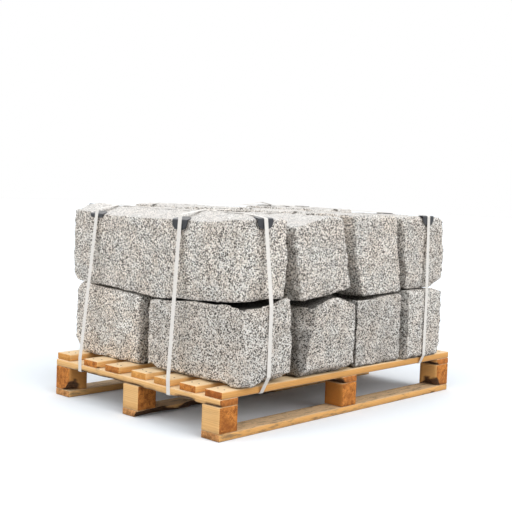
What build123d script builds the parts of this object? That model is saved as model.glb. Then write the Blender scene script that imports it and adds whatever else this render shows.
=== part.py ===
from build123d import *
from collections import namedtuple
import math
import os

# Pallet timber
pallet_length = 1200.0
pallet_width = 800.0
board_thickness = 22.0
block_height = 78.0
block_length = 75.0
block_width = 76.0
skid_width = 76.0
stringer_width = 75.0
deck_board_width = 72.0
deck_end_step = 8.0

# Load of stones: where its outer box stands on the pallet, and the heights of its two courses
load_left_inset = 65.0
load_right_inset = 72.0
load_front_overhang = 28.0
load_back_overhang = 18.0
bed_height = 246.0
upper_course = 260.0

# Split stone: how far a face may fall back from its envelope, and its broken arrises
relief_depth = 5.5
belly = 2.0
corner_clip = 7.0

# Slope on the left of the long upper stone, its climb at the near corner and its fall to the front;
# and the slope on its neighbour
long_stone_drop = 29.0
long_stone_slope_width = 90.0
near_corner_reach = 167.0
near_corner_climb = 17.0
front_fall = 13.0
front_fall_length = 90.0
second_stone_drop = 35.0
second_stone_slope_width = 180.0

# Near corner broken off the front stone of the lower course
chip_length = 130.0
chip_depth = 20.0

# Tilt of the beds between the courses, in degrees
bed_1_front_tilt = 3.5
bed_1_back_tilt = 2.7
bed_2_tilt = 7.2
bed_3_tilt = 2.65

# Straps and corner protectors
strap_width = 16.0
strap_thickness = 1.0
seat_gap = 0.3
protector_width = 66.0
protector_thickness = 3.0
protector_flap = 29.0
short_flap = 10.0
protector_bend_radius = 5.0
protector_tip_radius = 24.0
short_tip_radius = 8.0
rear_strap_inset = 136.0
rear_strap_shift = 14.0
front_strap_inset = 221.0
front_strap_shift = 44.0
left_strap_inset = 104.0
right_strap_inset = 123.0
tail_rise = 10.0
hull_samples = 24
straight_turn_share = 0.0001

stringer_z = board_thickness + block_height
deck_z = stringer_z + board_thickness
deck_top = deck_z + board_thickness
top_z = deck_top + bed_height + upper_course
half_length = pallet_length / 2
half_width = pallet_width / 2
load_left = -half_length + load_left_inset
load_right = half_length - load_right_inset
load_front = -half_width - load_front_overhang
load_back = half_width + load_back_overhang
load_length = load_right - load_left
load_width = load_back - load_front


def across(share):
    return load_left + share * load_length


def along(share):
    return load_front + share * load_width


def level(share):
    return deck_top + share * bed_height


def board(x_low, x_high, y_low, y_high, z_low, z_high):
    """Sawn timber between two opposite corners."""
    size = Box(x_high - x_low, y_high - y_low, z_high - z_low)
    return Pos((x_low + x_high) / 2, (y_low + y_high) / 2, (z_low + z_high) / 2) * size


def save(solid, name):
    export_step(solid, os.path.join("parts", name + ".step"))


os.makedirs("parts", exist_ok=True)

# Pallet: skids, blocks and stringers on three lines each way
row_end = half_width - block_width / 2
line_end = half_length - block_length / 2
row_y = {"front": -row_end, "middle": 0, "back": row_end}
line_x = {"left": -line_end, "middle": 0, "right": line_end}
for row, y in row_y.items():
    skid = board(-half_length, half_length, y - skid_width / 2, y + skid_width / 2, 0, board_thickness)
    save(skid, f"skid_{row}")
    for line, x in line_x.items():
        block = board(x - block_length / 2, x + block_length / 2, y - block_width / 2, y + block_width / 2,
                      board_thickness, stringer_z)
        save(block, f"block_{line}_{row}")
stringer_end = half_length - stringer_width / 2
stringer_x = {"left": -stringer_end, "middle": 0, "right": stringer_end}
for line, x in stringer_x.items():
    stringer = board(x - stringer_width / 2, x + stringer_width / 2, -half_width, half_width,
                     stringer_z, deck_z)
    save(stringer, f"stringer_{line}")

# Deck boards are nailed on by eye: uneven spacing, ends a little out of line
deck_centre_shares = (0.0, 0.150, 0.305, 0.465, 0.635, 0.795, 1.0)
left_step_shares = (0.75, 0.70, 0.30, 1.0, 0.10, 0.40, 0.55)
right_step_shares = (0.10, 0.60, 0.90, 0.25, 0.75, 0.35, 0.50)
deck_first_y = -half_width + deck_board_width / 2
deck_span = pallet_width - deck_board_width
for number, centre in enumerate(deck_centre_shares):
    y = deck_first_y + centre * deck_span
    left = -half_length + left_step_shares[number] * deck_end_step
    right = half_length - right_step_shares[number] * deck_end_step
    plank = board(left, right, y - deck_board_width / 2, y + deck_board_width / 2, deck_z, deck_top)
    save(plank, f"deck_board_{number + 1}")

# Split stones. Each is a stack of uneven rings: foot, heel, belly, shoulder and crown.
# left, right, front, back: shares of the load's box at mid height
# foot, crown: heights as shares of the bed height above the deck
# left_lean, right_lean: shares of the load's length that the top edge moves over
# heel, shoulder: heights of the broken foot and crown, as shares of the bed height
# foot_in, crown_in: how far foot and crown fall back (left, right, front, back), same shares
Stone = namedtuple("Stone", "left right front back foot crown left_lean right_lean "
                            "heel shoulder foot_in crown_in")
even_shares = (0.04, 0.04, 0.04, 0.04)
top_share = 1 + upper_course / bed_height
high_top_share = top_share + 0.041
stone_shares = {
    "upper_stone_1": Stone(
        0, 0.2053, 0.045, 1.0, 0.915, top_share, 0, 0, 0.20, 0.05,
        (0.04, 0.04, 0.04, 0.11), even_shares),
    "upper_stone_2_front": Stone(
        0.236, 0.476, 0.033, 0.492, 0.935, top_share - 0.012, -0.025, -0.031, 0.17, 0.04,
        (0.04, 0.45, 0.04, 0.04), even_shares),
    "upper_stone_2_back": Stone(
        0.222, 0.466, 0.520, 0.974, 0.935, high_top_share, 0, 0, 0.05, 0.05, even_shares, even_shares),
    "upper_stone_3": Stone(
        0.519, 0.748, 0.033, 0.970, 0.935, top_share + 0.012, -0.030, -0.021, 0.06, 0.05,
        (0.10, 0.08, 0.04, 0.04), even_shares),
    "upper_stone_4_front": Stone(
        0.769, 1.0, 0.027, 0.483, 1.004, top_share, -0.018, -0.005, 0.14, 0.05,
        (0.04, 0.24, 0.06, 0.04), (0.04, 0.05, 0.04, 0.04)),
    "upper_stone_4_back": Stone(
        0.766, 0.990, 0.512, 0.978, 1.004, high_top_share, 0, 0, 0.06, 0.05, even_shares, even_shares),
    "lower_stone_1_front": Stone(
        0, 0.199, 0, 0.520, 0, 1.025, 0, -0.005, 0.12, 0.06,
        (0.10, 0.14, 0.22, 0.12), (0.04, 0.06, 0.04, 0.06)),
    "lower_stone_1_back": Stone(
        0.002, 0.198, 0.568, 0.974, 0, 0.996, 0, 0, 0.26, 0.13,
        (0.06, 0.05, 0.03, 0.17), (0.03, 0.04, 0.04, 0.08)),
    "lower_stone_2": Stone(
        0.270, 0.4985, 0.004, 0.970, 0, 1.016, 0.024, 0, 0.10, 0.11,
        (0.05, 0.12, 0.16, 0.05), (0.24, 0.28, 0.05, 0.05)),
    "lower_stone_3_front": Stone(
        0.514, 0.769, 0.027, 0.489, 0, 0.988, 0, 0, 0.04, 0.06,
        even_shares, (0.08, 0.04, 0.04, 0.04)),
    "lower_stone_3_back": Stone(
        0.513, 0.767, 0.521, 0.968, 0, 0.988, 0, 0, 0.05, 0.05, even_shares, even_shares),
    "lower_stone_4": Stone(
        0.775, 0.990, 0.015, 0.974, 0, 1.004, 0, 0, 0.04, 0.05,
        even_shares, (0.05, 0.22, 0.04, 0.04)),
}
relief_shares = (0.2, 0.9, 0.0, 0.55, 0.35, 1.0, 0.1, 0.7, 0.45, 0.0, 0.8, 0.25, 0.6)
side_stop_shares = (0.0, 0.36, 0.70, 1.0)
point_skip_count = 5
ring_skip_count = 3
stone_skip_count = 4


def ring(left, right, front, back, z, turn):
    """One outline of a stone, its corners clipped and each point set back by the relief."""
    wide = right - left - 2 * corner_clip
    deep = back - front - 2 * corner_clip
    points = []
    for side in ("front", "right", "back", "left"):
        for stop in side_stop_shares:
            index = (turn + point_skip_count * len(points)) % len(relief_shares)
            inward = relief_shares[index] * relief_depth
            if side == "front":
                point = Vector(left + corner_clip + stop * wide, front + inward, z)
            elif side == "right":
                point = Vector(right - inward, front + corner_clip + stop * deep, z)
            elif side == "back":
                point = Vector(right - corner_clip - stop * wide, back - inward, z)
            else:
                point = Vector(left + inward, back - corner_clip - stop * deep, z)
            points.append(point)
    return points


def facet(*corners):
    return make_face(Polyline(*corners, close=True)).face()


def split_stone(shape, turn):
    """A stone from its five rings: flat bed and crown, and split facets between them."""
    foot = level(shape.foot)
    crown = level(shape.crown)
    middle = (foot + crown) / 2
    foot_in = [share * bed_height for share in shape.foot_in]
    crown_in = [share * bed_height for share in shape.crown_in]
    flush = (0, 0, 0, 0)
    drawn_in = (belly, belly, belly, belly)
    layers = [(foot, foot_in), (foot + shape.heel * bed_height, drawn_in), (middle, flush),
              (crown - shape.shoulder * bed_height, drawn_in), (crown, crown_in)]
    rings = []
    for number, (z, (left_in, right_in, front_in, back_in)) in enumerate(layers):
        lean = (z - middle) / (crown - middle)
        rings.append(ring(across(shape.left + lean * shape.left_lean) + left_in,
                          across(shape.right + lean * shape.right_lean) - right_in,
                          along(shape.front) + front_in, along(shape.back) - back_in,
                          z, turn + ring_skip_count * number))
    facets = [facet(*rings[0]), facet(*rings[-1])]
    for lower, upper in zip(rings, rings[1:]):
        for here in range(len(lower)):
            before = here - 1
            facets.append(facet(lower[before], lower[here], upper[before]))
            facets.append(facet(lower[here], upper[here], upper[before]))
    return Solid(Shell(facets))


stones = {}
for number, (name, shape) in enumerate(stone_shares.items()):
    stones[name] = split_stone(shape, stone_skip_count * number)


def bed(x_share, y_share, z_share, lean_x, lean_y):
    """Plane that two courses share; it rises by these angles along X and along Y."""
    normal = (-math.tan(math.radians(lean_x)), -math.tan(math.radians(lean_y)), 1)
    return Plane(origin=(across(x_share), along(y_share), level(z_share)), z_dir=normal)


# The stones of the two courses meet on shared beds, split to one plane
beds = {
    "1_front": bed(0, 0.48, 0.919, 0, -bed_1_front_tilt),
    "1_back": bed(0, 0.568, 0.929, 0, bed_1_back_tilt),
    "2": bed(0.333, 0, 0.988, bed_2_tilt, 0),
    "3": bed(0.499, 0, 0.935, bed_3_tilt, 0),
    "4": bed(1, 0, 1.004, 0, 0),
}
bed_stones = {
    "1_front": (("lower_stone_1_front",), ("upper_stone_1",)),
    "1_back": (("lower_stone_1_back",), ("upper_stone_1",)),
    "2": (("lower_stone_2",), ("upper_stone_2_front", "upper_stone_2_back")),
    "3": (("lower_stone_3_front", "lower_stone_3_back"), ("upper_stone_3",)),
    "4": (("lower_stone_4",), ("upper_stone_4_front", "upper_stone_4_back")),
}
for name, plane in beds.items():
    below, above = bed_stones[name]
    for stone in below:
        stones[stone] = split(stones[stone], bisect_by=plane, keep=Keep.BOTTOM)
    for stone in above:
        stones[stone] = split(stones[stone], bisect_by=plane, keep=Keep.TOP)

# Sloping tops of the first two upper stones. The long one slopes to the left, up to its near corner
slope_tilt = math.degrees(math.atan2(long_stone_drop, long_stone_slope_width))
slope = Plane(origin=(load_left, 0, top_z - long_stone_drop),
              z_dir=(-long_stone_drop, 0, long_stone_slope_width))
long_stone_front = along(stone_shares["upper_stone_1"].front)
climb = Plane(origin=(load_left, long_stone_front + near_corner_reach, top_z - long_stone_drop),
              z_dir=(0, near_corner_climb, near_corner_reach))
waste = board(-half_length, load_right, -pallet_width, pallet_width, level(1), top_z + bed_height)
waste = split(split(waste, bisect_by=slope, keep=Keep.TOP), bisect_by=climb, keep=Keep.TOP)
front_tilt = math.degrees(math.atan2(front_fall, front_fall_length))
fall = Plane(origin=(0, long_stone_front, top_z - front_fall), z_dir=(0, -front_fall, front_fall_length))
stones["upper_stone_1"] = split(stones["upper_stone_1"] - waste, bisect_by=fall, keep=Keep.BOTTOM)
second = stone_shares["upper_stone_2_front"]
second_edge = (across(second.left + second.left_lean), 0, level(second.crown) - second_stone_drop)
slope = Plane(origin=second_edge, z_dir=(-second_stone_drop, 0, second_stone_slope_width))
stones["upper_stone_2_front"] = split(stones["upper_stone_2_front"], bisect_by=slope, keep=Keep.BOTTOM)

# Near corner chipped off under the long stone
chip_level = level(stone_shares["lower_stone_1_front"].crown) - chip_depth
chip = Plane(origin=(load_left, load_front, chip_level), z_dir=(-chip_depth, -chip_depth, chip_length))
stones["lower_stone_1_front"] = split(stones["lower_stone_1_front"], bisect_by=chip, keep=Keep.BOTTOM)
for name, stone in stones.items():
    save(stone, name)


def top_flap_end(tilt, depth):
    """End, out of the face and up, of a top flap's underside or of the surface this far above it."""
    sine = math.sin(math.radians(tilt))
    cosine = math.cos(math.radians(tilt))
    return (seat_gap - protector_flap * cosine + depth * sine,
            seat_gap * (1 - sine) / cosine + protector_flap * sine + depth * cosine)


def protector(tilt, face_flap, face_tip_radius):
    """Moulded edge protector. Its edge runs along Y, +X is out of the face, the origin is on the arris."""
    sine = math.sin(math.radians(tilt))
    cosine = math.cos(math.radians(tilt))
    outline = []
    for depth in (0, protector_thickness):
        out = seat_gap + depth
        corner_z = out * (1 - sine) / cosine
        outline.append([(out, -face_flap), (out, corner_z), top_flap_end(tilt, depth)])
    inside, outside = outline
    solid = extrude(Plane.XZ * make_face(Polyline(*inside, *reversed(outside), close=True)),
                    protector_width / 2, both=True)
    bend = solid.edges().filter_by(Axis.Y).sort_by(lambda edge: edge.center().X + edge.center().Z)[-1]
    solid = fillet(bend, protector_bend_radius)
    solid = fillet(solid.edges().filter_by(Axis.X).group_by(Axis.Z)[0], face_tip_radius)
    across_flap = Axis((0, 0, 0), (sine, 0, cosine))
    return fillet(solid.edges().filter_by(across_flap).group_by(Axis.X)[0], protector_tip_radius)


def bend_circle(tilt):
    """Centre and radius, out of the face and up, of the strap's bend over a protector."""
    depth = seat_gap + protector_thickness - protector_bend_radius
    sine = math.sin(math.radians(tilt))
    cosine = math.cos(math.radians(tilt))
    return depth, depth * (1 - sine) / cosine, protector_bend_radius + seat_gap


def face_x(name, side, z):
    """Where a stone's left or right face stands at a height."""
    shape = stone_shares[name]
    foot = level(shape.foot)
    crown = level(shape.crown)
    lean = (2 * z - foot - crown) / (crown - foot)
    if side == "left":
        return across(shape.left + lean * shape.left_lean)
    return across(shape.right + lean * shape.right_lean)


def right_edge(name):
    """Right top edge that a protector sits on, clear of the face below it."""
    crown = level(stone_shares[name].crown)
    return max(face_x(name, "right", crown), face_x(name, "right", crown - protector_flap)), crown


# Where the straps stand: two along the pallet, clear of the blocks, and two across it
rear_strap_foot_y = half_width - rear_strap_inset
rear_strap_top_y = rear_strap_foot_y + rear_strap_shift
front_strap_foot_y = -half_width + front_strap_inset
front_strap_top_y = front_strap_foot_y + front_strap_shift
left_strap_x = load_left + left_strap_inset
right_strap_x = load_right - right_strap_inset

# Where each strap turns over the load: position along the strap, and height
left_edge = (load_left, top_z - long_stone_drop)
rear_right_edge = right_edge("upper_stone_4_back")
front_right_edge = right_edge("upper_stone_4_front")
left_front_edge = (long_stone_front, top_z - front_fall)
left_back_edge = (along(stone_shares["upper_stone_1"].back), top_z)
right_front_edge = (along(stone_shares["upper_stone_4_front"].front), front_right_edge[1])
right_back_edge = (along(stone_shares["upper_stone_4_back"].back), rear_right_edge[1])
flat_guard = protector(0, protector_flap, protector_tip_radius)
facing_left = Rot(0, 0, 180) * protector(slope_tilt, protector_flap, protector_tip_radius)
worn_facing_left = Rot(0, 0, 180) * protector(slope_tilt, short_flap, short_tip_radius)
facing_front = Rot(0, 0, -90) * flat_guard
sloped_facing_front = Rot(0, 0, -90) * protector(front_tilt, protector_flap, protector_tip_radius)
facing_back = Rot(0, 0, 90) * flat_guard
guards = {
    "left_rear": Pos(left_edge[0], rear_strap_top_y, left_edge[1]) * worn_facing_left,
    "left_front": Pos(left_edge[0], front_strap_top_y, left_edge[1]) * facing_left,
    "right_rear": Pos(rear_right_edge[0], rear_strap_top_y, rear_right_edge[1]) * flat_guard,
    "right_front": Pos(front_right_edge[0], front_strap_top_y, front_right_edge[1]) * flat_guard,
    "front_left": Pos(left_strap_x, *left_front_edge) * sloped_facing_front,
    "front_right": Pos(right_strap_x, *right_front_edge) * facing_front,
    "back_left": Pos(left_strap_x, *left_back_edge) * facing_back,
    "back_right": Pos(right_strap_x, *right_back_edge) * facing_back,
}
for place, guard in guards.items():
    save(guard, f"corner_protector_{place}")


def turn_over(edge, outward, tilt, face_flap):
    """The circles, along the strap and up, that a strap may touch on one protector."""
    face_tip = (seat_gap + protector_thickness, -face_flap, seat_gap)
    top_tip = (*top_flap_end(tilt, protector_thickness), seat_gap)
    circles = []
    for out, up, radius in (bend_circle(tilt), top_tip, face_tip):
        circles.append((edge[0] + outward * out, edge[1] + up, radius))
    return circles


def run_normals(circles):
    """Outward normals of the straight runs of a tight loop, from each circle to the next."""
    normals = []
    for (s_1, z_1, radius_1), (s_2, z_2, radius_2) in zip(circles, circles[1:] + circles[:1]):
        run = Vector(s_2 - s_1, z_2 - z_1)
        drop = (radius_1 - radius_2) / run.length
        rise = math.sqrt(1 - drop * drop)
        unit = run.normalized()
        normals.append(Vector(unit.X * drop + unit.Y * rise, unit.Y * drop - unit.X * rise))
    return normals


def tight_order(circles):
    """Circles that a tight loop turns round, in order along the loop."""
    marks = []
    for number, (s, z, radius) in enumerate(circles):
        for step in range(hull_samples):
            angle = 2 * math.pi * step / hull_samples
            marks.append((s + radius * math.cos(angle), z + radius * math.sin(angle), number))
    marks.sort()
    loop = []
    for run in (marks, marks[::-1]):
        chain = []
        for mark in run:
            while len(chain) > 1 and ((chain[-1][0] - chain[-2][0]) * (mark[1] - chain[-2][1])
                                      <= (chain[-1][1] - chain[-2][1]) * (mark[0] - chain[-2][0])):
                chain.pop()
            chain.append(mark)
        loop += chain[:-1]
    order = []
    for mark in loop:
        if not order or order[-1] != mark[2]:
            order.append(mark[2])
    if order[0] == order[-1]:
        order.pop()
    touched = [circles[number] for number in order]
    while True:
        normals = run_normals(touched)
        turns = [normals[here - 1].cross(normals[here]).Z for here in range(len(touched))]
        if min(turns) > straight_turn_share:
            return touched
        touched.pop(turns.index(min(turns)))


def belt(circles, plane):
    """Face inside a belt drawn tight round circles, each given as position, height and radius."""
    normals = run_normals(circles)
    edges = []
    for number, (circle, following) in enumerate(zip(circles, circles[1:] + circles[:1])):
        centre = Vector(circle[0], circle[1])
        before = normals[number - 1]
        after = normals[number]
        middle = (before + after).normalized()
        leave = centre + after * circle[2]
        meet = Vector(following[0], following[1]) + after * following[2]
        edges.append(ThreePointArc(centre + before * circle[2], centre + middle * circle[2], leave))
        edges.append(Line(leave, meet))
    return plane * make_face(edges)


def strap(circles, plane, across_plane, foot, top):
    """Flat strap: a tight loop one thickness deep, cut to the strap's width along a leaning line."""
    order = tight_order(circles)
    outer = [(s, z, radius + strap_thickness) for s, z, radius in order]
    loop = extrude(belt(outer, plane) - belt(order, plane), pallet_length, both=True)
    half = strap_width / 2
    (foot_s, foot_z), (top_s, top_height) = foot, top
    lean = (top_s - foot_s) / (top_height - foot_z)
    low = foot_s - lean * foot_z
    high = top_s + lean * top_z
    high_z = top_height + top_z
    sides = ((low - half, 0), (low + half, 0), (high + half, high_z), (high - half, high_z))
    band = make_face(Polyline(*sides, close=True))
    return loop & extrude(across_plane * band, pallet_length, both=True)


def crown_rests(*names):
    """Top edges of stones that a strap along the pallet may touch."""
    rests = []
    for shape in (stone_shares[name] for name in names):
        rests.append((across(shape.left + shape.left_lean), level(shape.crown), seat_gap))
        rests.append((across(shape.right + shape.right_lean), level(shape.crown), seat_gap))
    return rests


def face_rests(side, *names):
    """Heels and shoulders of the faces on one side that a strap may touch."""
    rests = []
    for name in names:
        shape = stone_shares[name]
        for z in (level(shape.foot + shape.heel), level(shape.crown - shape.shoulder)):
            if side in ("left", "right"):
                face = face_x(name, side, z)
            else:
                face = along(getattr(shape, side))
            rests.append((face, z, seat_gap))
    return rests


def crossing_rests(strap_x, edge_z):
    """Both edges of a strap across the pallet, where a strap along the pallet goes over it."""
    rest_z = edge_z + seat_gap + protector_thickness + seat_gap + strap_thickness
    return [(strap_x - strap_width / 2, rest_z, seat_gap), (strap_x + strap_width / 2, rest_z, seat_gap)]


# Straps along the pallet go under the stringers; they cross over the other two on top
pallet_ends = []
for end in (-half_length, half_length):
    for z in (stringer_z, deck_z, deck_top):
        pallet_ends.append((end, z, seat_gap))
ridge = [(load_left + long_stone_slope_width, top_z, seat_gap)]
rear_rests = crown_rests("upper_stone_2_back", "upper_stone_3", "upper_stone_4_back") + ridge
rear_rests += crossing_rests(left_strap_x, top_z) + crossing_rests(right_strap_x, rear_right_edge[1])
rear_rests += face_rests("left", "upper_stone_1", "lower_stone_1_back")
rear_rests += face_rests("right", "upper_stone_4_back", "lower_stone_4")
rear_rests += turn_over(left_edge, -1, slope_tilt, short_flap)
rear_rests += turn_over(rear_right_edge, 1, 0, protector_flap)
rear_strap = strap(pallet_ends + rear_rests, Plane.XZ, Plane.YZ,
                   (rear_strap_foot_y, stringer_z), (rear_strap_top_y, top_z))
save(rear_strap, "strap_rear")

# Loose end of the rear strap, bent up over its run from the second column to the strap it crosses
tail_shares = (0.67, 0.80, 0.89)
second_back = stone_shares["upper_stone_2_back"]
run_start = Vector(across(second_back.left + second_back.left_lean), rear_strap_top_y,
                   level(second_back.crown))
crossing_x, crossing_z, crossing_radius = crossing_rests(right_strap_x, rear_right_edge[1])[0]
run = Vector(crossing_x, rear_strap_top_y, crossing_z) - run_start
tail_plane = Plane(origin=run_start, x_dir=run, z_dir=(0, -1, 0))
tail_foot = crossing_radius + strap_thickness + seat_gap
first, peak, last = (share * run.length for share in tail_shares)
under = ((first, tail_foot), (peak, tail_foot + tail_rise), (last, tail_foot))
over = [(along_run, up + strap_thickness) for along_run, up in reversed(under)]
tail = extrude(tail_plane * make_face(Polyline(*under, *over, close=True)), strap_width / 2, both=True)
save(tail, "strap_tail")
front_rests = crown_rests("upper_stone_2_front", "upper_stone_3", "upper_stone_4_front") + ridge
front_rests += crossing_rests(left_strap_x, top_z) + crossing_rests(right_strap_x, front_right_edge[1])
front_rests += face_rests("left", "upper_stone_1", "lower_stone_1_front")
front_rests += face_rests("right", "upper_stone_4_front", "lower_stone_4")
front_rests += turn_over(left_edge, -1, slope_tilt, protector_flap)
front_rests += turn_over(front_right_edge, 1, 0, protector_flap)
front_strap = strap(pallet_ends + front_rests, Plane.XZ, Plane.YZ,
                    (front_strap_foot_y, stringer_z), (front_strap_top_y, top_z))
save(front_strap, "strap_front")

# Straps across the pallet go under the deck boards and over the bellies of the stones
deck_edges = []
for edge in (-half_width, half_width):
    for z in (deck_z, deck_top):
        deck_edges.append((edge, z, seat_gap))
left_rests = face_rests("front", "upper_stone_1", "lower_stone_1_front")
left_rests += face_rests("back", "upper_stone_1", "lower_stone_1_back")
left_rests += turn_over(left_front_edge, -1, front_tilt, protector_flap)
left_rests += turn_over(left_back_edge, 1, 0, protector_flap)
left_rests.append((long_stone_front + front_fall_length, top_z, seat_gap))
left_strap = strap(deck_edges + left_rests, Plane.YZ, Plane.XZ,
                   (left_strap_x, deck_z), (left_strap_x, top_z))
save(left_strap, "strap_left")
right_rests = face_rests("front", "upper_stone_4_front", "lower_stone_4")
right_rests += face_rests("back", "upper_stone_4_back", "lower_stone_4")
right_rests.append((along(stone_shares["upper_stone_4_back"].front), rear_right_edge[1], seat_gap))
right_rests += turn_over(right_front_edge, -1, 0, protector_flap)
right_rests += turn_over(right_back_edge, 1, 0, protector_flap)
right_strap = strap(deck_edges + right_rests, Plane.YZ, Plane.XZ,
                    (right_strap_x, deck_z), (right_strap_x, top_z))
save(right_strap, "strap_right")
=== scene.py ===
import bmesh
import bpy
import math
import random
import numpy as np
from mathutils import Matrix, Vector, noise
from mathutils.bvhtree import BVHTree


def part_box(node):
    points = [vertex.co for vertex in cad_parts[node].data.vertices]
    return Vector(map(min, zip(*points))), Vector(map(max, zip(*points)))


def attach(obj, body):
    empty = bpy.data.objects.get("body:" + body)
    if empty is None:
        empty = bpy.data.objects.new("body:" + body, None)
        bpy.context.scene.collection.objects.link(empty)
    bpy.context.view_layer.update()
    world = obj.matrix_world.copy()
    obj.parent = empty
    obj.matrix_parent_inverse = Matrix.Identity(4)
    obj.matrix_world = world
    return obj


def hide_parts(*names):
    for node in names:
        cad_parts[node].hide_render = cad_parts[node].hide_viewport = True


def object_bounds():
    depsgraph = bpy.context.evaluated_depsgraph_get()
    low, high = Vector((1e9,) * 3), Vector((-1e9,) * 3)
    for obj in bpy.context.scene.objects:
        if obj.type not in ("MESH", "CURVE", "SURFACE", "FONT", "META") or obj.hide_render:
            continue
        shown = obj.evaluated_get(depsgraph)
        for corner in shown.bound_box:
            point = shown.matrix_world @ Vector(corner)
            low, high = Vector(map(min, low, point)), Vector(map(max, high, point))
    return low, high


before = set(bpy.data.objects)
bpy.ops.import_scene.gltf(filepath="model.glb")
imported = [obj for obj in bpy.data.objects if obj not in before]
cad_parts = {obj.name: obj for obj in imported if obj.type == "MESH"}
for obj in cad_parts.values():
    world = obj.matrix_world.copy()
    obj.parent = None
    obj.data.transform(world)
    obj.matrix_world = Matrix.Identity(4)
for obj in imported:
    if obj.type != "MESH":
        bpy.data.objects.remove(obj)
cad_low, cad_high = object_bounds()

# Skids: three long softwood boards under the blocks, which slide over the floor.
# They are sawn from pine, with rough ends, rubbed edges and grey dirt on their upper faces.
X, Y, Z = 0, 1, 2
hair = 1e-9
edge_row = 0.0025
grain_step, cross_step = 0.011, 0.008
saw_rough, saw_scale = 0.0003, 90
edge_round = 0.0011
dent_depth, dent_scale, dent_start = 0.0030, 17, 0.12
nick_share, nick_scale = 0.45, 61
wane_level, wane_wave, wane_scale = 0.75, 0.5, 23
wane_run_out = 0.3
bark_edge = 0.0015
timber_drift = 40
log_reach = 9
heart_beside, heart_below = (0.02, 0.05), (0.015, 0.06)
drawn_tones = (0.1, 0.6)


def surface_lattice(stops):
    """Points and outward quads of a box that is divided at these stops along X, Y and Z,
    and the axis that each quad faces along."""
    last = [len(row) - 1 for row in stops]
    index = {}
    points = []
    quads = []
    quad_axis = []

    def corner(key):
        if key not in index:
            index[key] = len(points)
            points.append([stops[axis][key[axis]] for axis in range(3)])
        return index[key]

    for axis in range(3):
        u, v = (axis + 1) % 3, (axis + 2) % 3
        for side in (0, last[axis]):
            for i in range(last[u]):
                for j in range(last[v]):
                    ring = []
                    for du, dv in ((0, 0), (1, 0), (1, 1), (0, 1)):
                        key = [0, 0, 0]
                        key[axis], key[u], key[v] = side, i + du, j + dv
                        ring.append(corner(tuple(key)))
                    quads.append(ring if side else ring[::-1])
                    quad_axis.append(axis)
    return np.array(points), quads, quad_axis


def random_shift(rng, reach):
    return Vector([rng.uniform(0, reach) for _ in range(3)])


def waves(spot, scale):
    """Smooth noise from 0 to 1."""
    return 0.5 + 0.5 * noise.noise(spot * scale)


def keep_values(mesh, name, values, domain="POINT"):
    """Values on a mesh, for its material to read."""
    kept = mesh.attributes.new(name, "FLOAT", domain)
    kept.data.foreach_set("value", np.asarray(values, np.float32))


def timber_mesh(node, grain, seed, wanes=(), tone=None):
    """Sawn timber in the place of a node: rubbed edges, dents, and wanes where the log ran out.
    A wane is two faces, where it starts and ends along the grain, and its depth.
    The tone runs from 0, pale, to 1, a resinous orange, and is drawn where none is given."""
    rng = random.Random(seed)
    low, high = (np.array(corner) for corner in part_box(node))
    size = high - low
    stops = []
    for axis in range(3):
        step = grain_step if axis == grain else cross_step
        inner = np.linspace(edge_row, size[axis] - edge_row, max(3, round(size[axis] / step)))
        stops.append(np.concatenate(([0.0], inner, [size[axis]])))
    points, quads, quad_axis = surface_lattice(stops)
    drift = random_shift(rng, timber_drift)
    bark = np.zeros(len(points))
    inward = np.where(points <= 0, 1.0, 0.0) - np.where(points >= size - hair, 1.0, 0.0)
    on_faces = np.abs(inward).sum(1)
    moved = points.copy()
    for number, point in enumerate(points):
        spot = Vector(point) + drift
        rubbed = saw_rough * waves(spot, saw_scale)
        if on_faces[number] > 1:
            knock = noise.noise(spot * dent_scale) + nick_share * noise.noise(spot * nick_scale)
            knock = max(0.0, knock - dent_start)
            rubbed += edge_round + dent_depth * knock * knock
        moved[number] += inward[number] * rubbed
    for face_a, face_b, start, end, depth in wanes:
        along = points[:, grain] / size[grain]
        to_end = np.minimum(along - start, end - along)
        run = np.clip(to_end / (wane_run_out * (end - start)), 0, 1)
        if start <= 0:
            run = np.where(along < (start + end) / 2, 1, run)
        gaps = []
        for axis, side in (face_a, face_b):
            gaps.append(moved[:, axis] if side < 0 else size[axis] - moved[:, axis])
        wavy = [wane_level + wane_wave * noise.noise((Vector(p) + drift) * wane_scale) for p in points]
        short = depth * run * np.array(wavy) - gaps[0] - gaps[1]
        cut = np.clip(short / 2, 0, None)
        for axis, side in (face_a, face_b):
            moved[:, axis] -= side * cut
        bark = np.maximum(bark, np.clip(short / bark_edge, 0, 1))
    mesh = bpy.data.meshes.new(node + "_sawn")
    mesh.from_pydata((moved + low).tolist(), [], quads)
    order = [grain, (grain + 1) % 3, (grain + 2) % 3]
    along_log = rng.uniform(-log_reach, log_reach)
    heart = np.array((along_log, rng.uniform(*heart_beside), rng.uniform(*heart_below)))
    local = points[:, order] - (size / 2)[order] * (0, 1, 1) + heart
    place = mesh.attributes.new("grain_place", "FLOAT_VECTOR", "POINT")
    place.data.foreach_set("vector", local.astype(np.float32).ravel())
    drawn = rng.uniform(*drawn_tones)
    keep_values(mesh, "bark", bark)
    keep_values(mesh, "end_face", [axis == grain for axis in quad_axis], "FACE")
    keep_values(mesh, "tone", np.full(len(points), drawn if tone is None else tone))
    mesh.shade_smooth()
    return mesh


def put(name, mesh, material, slot, *nodes):
    """A finished piece, in place of the nodes that it stands for."""
    piece = bpy.data.objects.new(name, mesh)
    bpy.context.scene.collection.objects.link(piece)
    piece.data.materials.clear()
    piece.data.materials.append(material)
    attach(piece, "root")
    if nodes:
        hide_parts(*nodes)


def start_material(name, roughness, specular):
    """A new material: its node tree and its shader."""
    material = bpy.data.materials.new(name)
    material.use_nodes = True
    shader = material.node_tree.nodes["Principled BSDF"]
    shader.inputs["Roughness"].default_value = roughness
    shader.inputs["Specular IOR Level"].default_value = specular
    return material, material.node_tree, shader


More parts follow.
